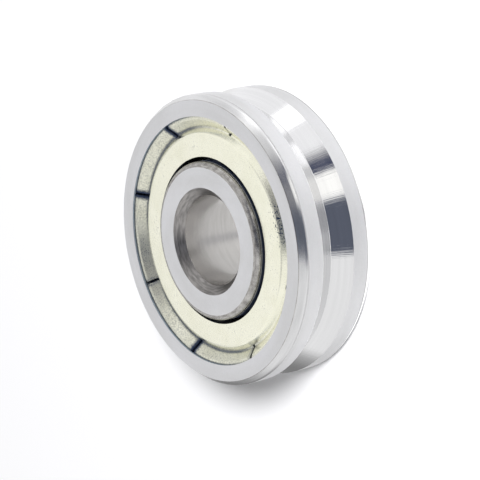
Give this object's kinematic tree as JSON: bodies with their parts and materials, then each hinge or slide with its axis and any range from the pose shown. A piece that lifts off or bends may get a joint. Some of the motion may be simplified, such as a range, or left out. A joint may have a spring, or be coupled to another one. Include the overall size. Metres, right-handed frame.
{
  "type": "v groove wheel",
  "caption": "Shielded ball bearing whose outer ring carries a V groove: a guide wheel that turns on a shoulder screw or pin and runs on a V rail, a round bar or a wire.",
  "frame": {"origin": "centre of the bore at the middle of the width", "axes": "+Z along the bearing axis, towards the front shield"},
  "size_m": [0.016, 0.016, 0.005],
  "materials": {
    "bearing_steel": "ground faces and lands, bright turned groove and corners",
    "zinc_plate": "satin zinc plate with a pale yellow tint",
    "cage_steel": "plain pressed strip",
    "ball_steel": "lapped"
  },
  "bodies": {
    "inner": {"inner_ring": "bearing_steel"},
    "outer": {"outer_ring": "bearing_steel", "front_shield": "zinc_plate", "rear_shield": "zinc_plate"},
    "cage": {"cage_front": "cage_steel", "cage_rear": "cage_steel"},
    "ball_1_body": {"ball_1": "ball_steel"},
    "ball_2_body": {"ball_2": "ball_steel"},
    "ball_3_body": {"ball_3": "ball_steel"},
    "ball_4_body": {"ball_4": "ball_steel"},
    "ball_5_body": {"ball_5": "ball_steel"},
    "ball_6_body": {"ball_6": "ball_steel"},
    "ball_7_body": {"ball_7": "ball_steel"}
  },
  "joints": [
    {"name": "outer_spin", "type": "hinge", "parent": "inner", "child": "outer", "pos_m": [0, 0, 0], "axis": [0, 0, 1], "continuous": true},
    {"name": "cage_spin", "type": "hinge", "parent": "inner", "child": "cage", "pos_m": [0, 0, 0], "axis": [0, 0, 1], "continuous": true},
    {"name": "ball_1_spin", "type": "hinge", "parent": "cage", "child": "ball_1_body", "pos_m": [0.00525, 0, 0], "axis": [0, 0, 1], "continuous": true},
    {"name": "ball_2_spin", "type": "hinge", "parent": "cage", "child": "ball_2_body", "pos_m": [0.00327, 0.0041, 0], "axis": [0, 0, 1], "continuous": true},
    {"name": "ball_3_spin", "type": "hinge", "parent": "cage", "child": "ball_3_body", "pos_m": [-0.00117, 0.00512, 0], "axis": [0, 0, 1], "continuous": true},
    {"name": "ball_4_spin", "type": "hinge", "parent": "cage", "child": "ball_4_body", "pos_m": [-0.00473, 0.00228, 0], "axis": [0, 0, 1], "continuous": true},
    {"name": "ball_5_spin", "type": "hinge", "parent": "cage", "child": "ball_5_body", "pos_m": [-0.00473, -0.00228, 0], "axis": [0, 0, 1], "continuous": true},
    {"name": "ball_6_spin", "type": "hinge", "parent": "cage", "child": "ball_6_body", "pos_m": [-0.00117, -0.00512, 0], "axis": [0, 0, 1], "continuous": true},
    {"name": "ball_7_spin", "type": "hinge", "parent": "cage", "child": "ball_7_body", "pos_m": [0.00327, -0.0041, 0], "axis": [0, 0, 1], "continuous": true}
  ],
  "couplings": [
    {"joint": "cage_spin", "follows": "outer_spin", "ratio": 0.63229},
    {"joint": "ball_1_spin", "follows": "outer_spin", "ratio": 1.7576},
    {"joint": "ball_2_spin", "follows": "outer_spin", "ratio": 1.7576},
    {"joint": "ball_3_spin", "follows": "outer_spin", "ratio": 1.7576},
    {"joint": "ball_4_spin", "follows": "outer_spin", "ratio": 1.7576},
    {"joint": "ball_5_spin", "follows": "outer_spin", "ratio": 1.7576},
    {"joint": "ball_6_spin", "follows": "outer_spin", "ratio": 1.7576},
    {"joint": "ball_7_spin", "follows": "outer_spin", "ratio": 1.7576}
  ]
}
